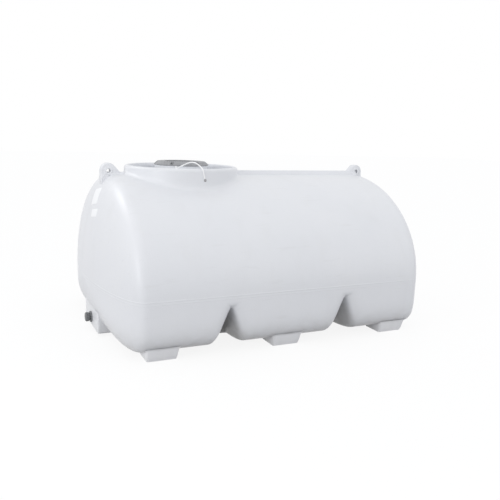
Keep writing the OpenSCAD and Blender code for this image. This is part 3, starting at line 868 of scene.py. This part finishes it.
def boss():
    """Rows of a rounded rectangle from its floor edge to its top, with rounded edges."""
    back = -STRAIGHT - 0.03
    loop = rounded_loop((back - boss_face) / 2, Box("outlet_boss").high[Y], BOSS_EDGE, 10)
    rows = [(loop * 0, boss_floor)]
    rows += [(loop * (1 - back / np.abs(loop).max(axis=0)), boss_floor + up)
             for back, up in quarter(BOSS_EDGE, 6)]
    rows += [(loop, z) for z in np.linspace(boss_floor + BOSS_EDGE, BOSS_TOP, 24)[1:]]
    rows.append((loop * 0, BOSS_TOP))
    centre = (boss_face + back) / 2
    grid = np.stack([at(centre + row[:, 0], row[:, 1], z) for row, z in rows])
    piece("outlet_pad", [(grid, False)], boss_white, "shell", sharp=50, solids=["outlet_boss"])


boss()

# %% [markdown]
# The outlet is a threaded spigot in a bulkhead flange, closed by a ribbed cap. They are
# turned shapes: a profile of radii and distances, carried round the outlet's axis. The
# cap's grip is a wave in the radius, and the flange has flats for a spanner.


# %% turned pieces
def turned_piece(name, profile, place, axis, material, slot, solid, around=96, wave=None,
                 flipped=False):
    """A profile of (distance, radius) turned round an axis; wave(angle, radius, distance)
    changes the radius."""
    profile = np.array(profile)
    angle = np.linspace(0, 2 * np.pi, around + 1)[None, :]
    d, r = profile[:, :1], np.broadcast_to(profile[:, 1:], (len(profile), around + 1))
    r = wave(angle, r, d) if wave else r
    axis = np.array(axis, dtype=float)
    side = unit(np.cross(axis, [0.0, 0.0, 1.0] if abs(axis[2]) < 0.9 else [1.0, 0.0, 0.0]))
    grid = circles(np.array(place) + d[..., None] * axis, r, angle, side, np.cross(axis, side))
    piece(name, [(grid, flipped)], material, slot, solids=[solid])


def from_flat(angle, sides):
    """Turn from the middle of the nearest of a number of flats."""
    return (angle + np.pi / sides) % (2 * np.pi / sides) - np.pi / sides


def flats(angle, r, d):
    """Eight flats on the flange's rim: r limited to apothem / cos of the turn from a flat."""
    return np.where(r > 0.040, np.minimum(r, 0.0445 / np.cos(from_flat(angle, 8))), r)


def grip(angle, r, d):
    """Twenty-four rounded ribs on the cap's side, fading out at its edges."""
    band = smooth_step((d - 0.024) / 0.003) * smooth_step((0.048 - d) / 0.003)
    ribs = np.clip(np.cos(24 * angle) * 1.4, -1, 1)
    return np.where(r > 0.033, r + 0.0016 * ribs * band, r)


def spigot_thread(angle, r, d):
    """A pipe thread: a ridge whose phase climbs one pitch of 3 mm each turn."""
    phase = d / 0.003 - angle / (2 * np.pi)
    ridge = 0.0012 * (0.5 + 0.5 * np.cos(2 * np.pi * phase))
    return np.where((r > 0.029) & (d > 0.012) & (d < 0.045), r - ridge, r)


# %% flange, cap and spigot
outlet = {"place": (boss_face, 0.0, Box("outlet_flange").middle[Z]), "axis": (-1.0, 0.0, 0.0),
          "material": fitting_grey, "slot": "fitting"}
flange_profile = [(-0.002, 0.0), (-0.002, 0.030), (0.0, 0.046), (0.0, 0.046), (0.010, 0.046),
                  (0.0125, 0.0452), (0.014, 0.0425), (0.014, 0.034), (0.010, 0.032), (0.010, 0.0)]
cap_profile = ([(0.022, 0.0), (0.022, 0.0335), (0.0225, 0.0352)]
               + [(d, 0.0362) for d in np.linspace(0.0235, 0.0475, 14)]
               + [(0.0495, 0.0352), (0.0508, 0.033), (0.051, 0.030), (0.051, 0.026),
                  (0.0495, 0.024), (0.0495, 0.010), (0.0505, 0.008), (0.0505, 0.0)])
spigot_profile = ([(-0.010, 0.025), (-0.010, 0.030)]
                  + [(d, 0.030) for d in np.linspace(0.010, 0.046, 49)]
                  + [(0.046, 0.025), (-0.010, 0.025)])
turned_piece("outlet_nut", flange_profile, solid="outlet_flange", wave=flats, **outlet)
turned_piece("outlet_lid", cap_profile, solid="outlet_cap", around=192, wave=grip, **outlet)
turned_piece("outlet_pipe", spigot_profile, solid="outlet_spigot", wave=spigot_thread, **outlet)

# %% [markdown]
# ## Lid
# The screwed lid is a thick ring that sits on the neck's lip, round a sunken cover. Its
# shoulder is a wide bevel with grip ribs, and six notches in the shoulder take a lever.
# The notches lower the shoulder in a window of angle, so they are part of one surface.

# %% lid ring
lid, cover = Box("lid_ring"), Box("lid_cover")
LID_RADIUS, LID_TOP, LID_BASE, SKIRT = lid.half[X], lid.high[Z], cover.low[Z], LIP_TOP + 0.001
COVER_RADIUS, COVER_TOP = cover.half[X], cover.high[Z]
SLOT_TURN, SLOTS, SLOT_HALF, SLOT_DEPTH = math.radians(-129), 6, 0.013, 0.022
lid_angle = np.linspace(0, 2 * np.pi, 385)[None, :]


def lid_surface(profile):
    """Rings of (radius, height): grip waves on the bevel, and notches cut down into it."""
    profile = np.array(profile)
    r, z = profile[:, :1], profile[:, 1:2]
    skirt = smooth_step((LID_TOP - 0.008 - z) / 0.008)
    rib = np.clip(np.cos(48 * lid_angle) * 1.5, -1, 1)
    radius = r + np.where(r > LID_RADIUS - 0.018, 0.0012 * (rib - 1) * skirt, 0)
    away = np.abs(from_flat(lid_angle - SLOT_TURN, SLOTS)) * r
    window = smooth_step((SLOT_HALF + 0.001 - away) / 0.002 + 0.5)
    cut = np.where(r > LID_RADIUS - 0.036, np.maximum(z - LID_TOP + SLOT_DEPTH, 0), 0)
    return round_manway(radius, lid_angle, z - window * cut)


ring_profile = ([(COVER_RADIUS, LID_BASE), (COVER_RADIUS, LID_TOP - 0.002),
                 (COVER_RADIUS + 0.002, LID_TOP)]
                + [(r, LID_TOP) for r in np.linspace(COVER_RADIUS + 0.006, LID_RADIUS - 0.037, 6)]
                + [(LID_RADIUS - 0.036, LID_TOP - 0.0002), (LID_RADIUS - 0.035, LID_TOP - 0.0004)]
                + [(LID_RADIUS - 0.032 + 0.032 * t**1.4, LID_TOP - 0.0006 - 0.0254 * t**1.8)
                   for t in np.linspace(0, 1, 14)]
                + [(LID_RADIUS, SKIRT + 0.003), (LID_RADIUS - 0.001, SKIRT + 0.001),
                   (LID_RADIUS - 0.003, SKIRT), (NECK - 0.001, SKIRT),
                   (NECK - 0.002, SKIRT - 0.001), (NECK - 0.002, LID_BASE + 0.001),
                   (NECK - 0.003, LID_BASE), (COVER_RADIUS, LID_BASE)])
piece("lid_collar", [(lid_surface(ring_profile), True)], lid_grey, "lid", body="lid", sharp=35,
      solids=["lid_ring"])

# %% [markdown]
# The cover inside the ring is a shallow dish with a raised circle, a small vent boss in
# the middle and eight low spokes that stiffen it. All three are added to one height.

# %% lid cover
def cover_surface():
    """Height over radius: the flat, a ridge exp(-((r - a) / b)^2), a boss and the spokes."""
    r = spaced(0, (8, 0.022), (30, COVER_RADIUS - 0.001))[:, None]
    spoke = np.clip(1 - np.abs(np.sin(4 * lid_angle)) * r / 0.012, 0, 1)
    spoke = spoke * smooth_step((r - 0.030) / 0.01) * smooth_step((0.112 - r) / 0.01)
    height = (COVER_TOP - 0.004 + 0.0035 * np.exp(-((r - 0.120) / 0.005) ** 2)
              + 0.0030 * smooth_step((0.022 - r) / 0.004) + 0.0028 * smooth_step(spoke))
    below = np.array([[COVER_RADIUS - 0.001], [0.0]])
    under = round_manway(below, lid_angle, LID_BASE)
    return np.concatenate([round_manway(r, lid_angle, height), under])


piece("lid_dish", [(cover_surface(), True)], lid_grey, "lid", body="lid", solids=["lid_cover"])

# %% [markdown]
# The gasket is a soft ring between neck and lid. The cord's loop is a small ring that
# hangs from the lid's edge on a tab. The screw holds the cord's other end on the collar.

# %% gasket
gasket = Box("neck_gasket")
gasket_radius, gasket_low = gasket.half[X] - 0.005, gasket.low[Z] - 0.001
gasket_profile = [(gasket_low + 0.0035 * (1 - math.sin(t)), gasket_radius + 0.005 * math.cos(t))
                  for t in np.linspace(0, 2 * np.pi, 25)]
turned_piece("neck_seal", gasket_profile, (MANWAY_X, 0, 0), (0, 0, 1), gasket_rubber, "gasket",
             "neck_gasket", around=128, flipped=True)

# %% the cord's loop
UP = np.array([0.0, 0.0, 1.0])


def heading(degrees):
    """The level direction at an angle from +x."""
    return np.array([math.cos(math.radians(degrees)), math.sin(math.radians(degrees)), 0.0])


loop_out = heading(-119.5)
loop_side = np.cross(UP, loop_out)
loop_z = Box("lid_eye").middle[Z]
loop_centre = np.array([MANWAY_X, 0.0, loop_z]) + loop_out * (LID_RADIUS + 0.010)


def cord_loop():
    """A ring of rounded section round the cord's hole: a torus with a flattened tube."""
    a = np.linspace(0, 2 * np.pi, 49)[:, None]
    b = np.linspace(0, 2 * np.pi, 17)[None, :]
    height = (0.0025 * np.sin(b))[..., None] * UP
    return circles(loop_centre + height, 0.0085 + 0.0030 * np.cos(b), a, loop_out, loop_side)


def loop_tab():
    """The tab that hangs the loop from the lid's edge: a rounded rectangle carried up."""
    flat = rounded_loop(0.0020, 0.0060, 0.0015, 4)
    across = flat[:, :1] * loop_out + flat[:, 1:] * loop_side
    top = SKIRT + 0.002 - loop_z
    rows = [(0, -0.0025, 0), (1, -0.0025, 0), (1, 0.010, 0.3), (1, top, 1), (0, top, 1)]
    return np.stack([loop_centre + grow * across + height * UP - (0.0105 + 0.004 * lean) * loop_out
                     for grow, height, lean in rows])


piece("lid_loop", [(cord_loop(), True), (loop_tab(), False)], braid, "lid", body="lid",
      solids=["lid_eye"])

# %% the cord's screw
screw_out = heading(-85.5)
screw_at = np.array([MANWAY_X, 0, Box("tether_screw").middle[Z]]) + screw_out * COLLAR
screw_profile = [(-0.002, 0.0), (-0.002, 0.011), (0.0, 0.012), (0.001, 0.012), (0.0018, 0.0115),
                 (0.002, 0.0065), (0.0021, 0.0062), (0.006, 0.0062), (0.009, 0.0058),
                 (0.0112, 0.0042), (0.012, 0.0022), (0.012, 0.002), (0.0100, 0.002), (0.0100, 0.0)]


def socket_drive(angle, r, d):
    """The hexagon socket: r of the innermost rows follows a hexagon."""
    return np.where((r < 0.0024) & (r > 0) & (d > 0.005), 0.0021 / np.cos(from_flat(angle, 6)), r)


turned_piece("cord_screw", screw_profile, screw_at, screw_out, steel, "screw", "tether_screw",
             around=48, wave=socket_drive)

# %% [markdown]
# ## Plates on the front end
# Two bare plates are stuck on the front end. Each is a thin rounded rectangle that lies
# on the dome, whose x for a place y, z is -(straight + depth sin(turn)^(2/2.2)), where
# cos(turn) is the share s of the section to the power 0.8.


# %% plates
PLATE_PROUD = 0.0012


def dome_x(y, z):
    """x of the front dome over y, z: the share s there gives cos(turn), and that the run."""
    s = np.sqrt((y / HALF_WIDTH) ** 2 + ((z - SEAM) / (TOP - SEAM)) ** 2)
    bulge = np.sqrt(np.clip(1 - s ** (2 / SHRINK_POWER), 0, 1)) ** RUN_POWER
    return -(STRAIGHT + DOME * bulge)


plate_finish = Finish("plate_white", (0.955, 0.965, 0.98))
haze = plate_finish.noise(25.0, 3.0)
plate_finish.tint(plate_finish.between(haze, 0.4, 0.75) * 0.3, (0.91, 0.925, 0.94))
plate_finish.feed("Roughness", 0.24 + haze * 0.16)
plate_finish.bump(haze, 0.0004)


def plate(name, y, z, wide, high, tilt, radius=0.010):
    """Rows from the middle of the plate to its edge, then round the edge onto the dome."""
    c, s, _ = heading(tilt)
    loop = rounded_loop(wide / 2, high / 2, radius) @ np.array([[c, s], [-s, c]])
    middle = np.array([y, z])
    rows = []
    for grow, proud in [(0, 1), (0.2, 1), (0.4, 1), (0.6, 1), (0.8, 1), (0.95, 1), (0.99, 1),
                        (1.0, 0.6), (1.0, -1.0), (0, -1.0)]:
        across, up = (middle + loop * grow).T
        rows.append(at(dome_x(across, up) - PLATE_PROUD * proud, across, up))
    piece(name, [(np.stack(rows), False)], plate_finish.material, "shell", sharp=60)


plate("plate_upper", -0.045, 1.104, 0.155, 0.128, -10)
plate("plate_lower", -0.135, 0.984, 0.150, 0.060, -8)

# %% [markdown]
# ## Studio
# An even sky, a soft lamp from the front left and a weak one from the right. A third lamp,
# behind the front end, shows only in gloss: it draws the bright line along the dome's
# rounded edge. Floor and sky have two shaders each. Rays that show the scene, seen straight
# or in gloss, meet a white one. All other rays meet the one that lights the tank, and for
# the floor that is a dim grey, so that the lobes' undersides stay dark.


# %% floor and sky
def emptied(owner):
    """The node tree of a material or a world, with no nodes left in it."""
    owner.use_nodes = True
    owner.node_tree.nodes.clear()
    return owner.node_tree


def light_and_show(tree, lights, shown, output):
    """Mixes two shaders: shown for camera, glossy and transmission rays, else lights."""
    seen = node(tree, "LightPath", {}, output="Is Camera Ray")
    for rays in ("Is Glossy Ray", "Is Transmission Ray"):
        seen = seen.math("MAXIMUM", seen, node(tree, "LightPath", {}, output=rays))
    mixed = node(tree, "MixShader", {0: seen, 1: lights, 2: shown})
    tree.links.new(mixed.socket, tree.nodes.new("ShaderNodeOutput" + output).inputs[0])


floor_finish = bpy.data.materials.new("floor_white")
tree = emptied(floor_finish)
matt = node(tree, "BsdfDiffuse", {"Color": (0.9, 0.9, 0.9, 1)})
bright = node(tree, "Emission", {"Color": (1, 1, 1, 1), "Strength": 1.02})
dim = node(tree, "BsdfDiffuse", {"Color": (0.44, 0.44, 0.45, 1)})
shown = node(tree, "MixShader", {0: 0.86, 1: matt, 2: bright})
light_and_show(tree, dim, shown, "Material")
floor_mesh = bpy.data.meshes.new("floor")
corners = [(-40, -40, 0), (40, -40, 0), (40, 40, 0), (-40, 40, 0)]
floor_mesh.from_pydata(corners, [], [(0, 1, 2, 3)])
floor_mesh.materials.append(floor_finish)
floor = placed("floor", floor_mesh)

sky = bpy.data.worlds.new("sky")
bpy.context.scene.world = sky
tree = emptied(sky)
even = node(tree, "Background", {"Color": (0.97, 0.98, 1.0, 1), "Strength": 0.93})
white = node(tree, "Background", {"Color": (1, 1, 1, 1), "Strength": 1.0})
light_and_show(tree, even, white, "World")
print("floor and sky:", floor.name, sky.name)


# %% lamps
def lamp(name, place, target, size, power, gloss_only=False):
    """A square soft lamp that looks at a point; gloss_only leaves matt surfaces alone."""
    made = placed(name, bpy.data.lights.new(name, "AREA"))
    made.data.size = size
    made.data.energy = power
    made.location = place
    aim = Vector(target) - Vector(place)
    made.rotation_euler = aim.to_track_quat("-Z", "Y").to_euler()
    made.visible_diffuse = not gloss_only


lamp("left", (-7.5, -3.5, 2.4), (-0.8, 0, 0.6), 3.0, 125)
lamp("right", (4.5, -6.5, 2.6), (0.4, 0, 0.6), 5.0, 33)
lamp("sheen", (-4.3, 3.0, 4.9), (-1.2, -0.4, 1.1), 1.8, 62, gloss_only=True)

bpy.context.scene.view_settings.view_transform = "Standard"
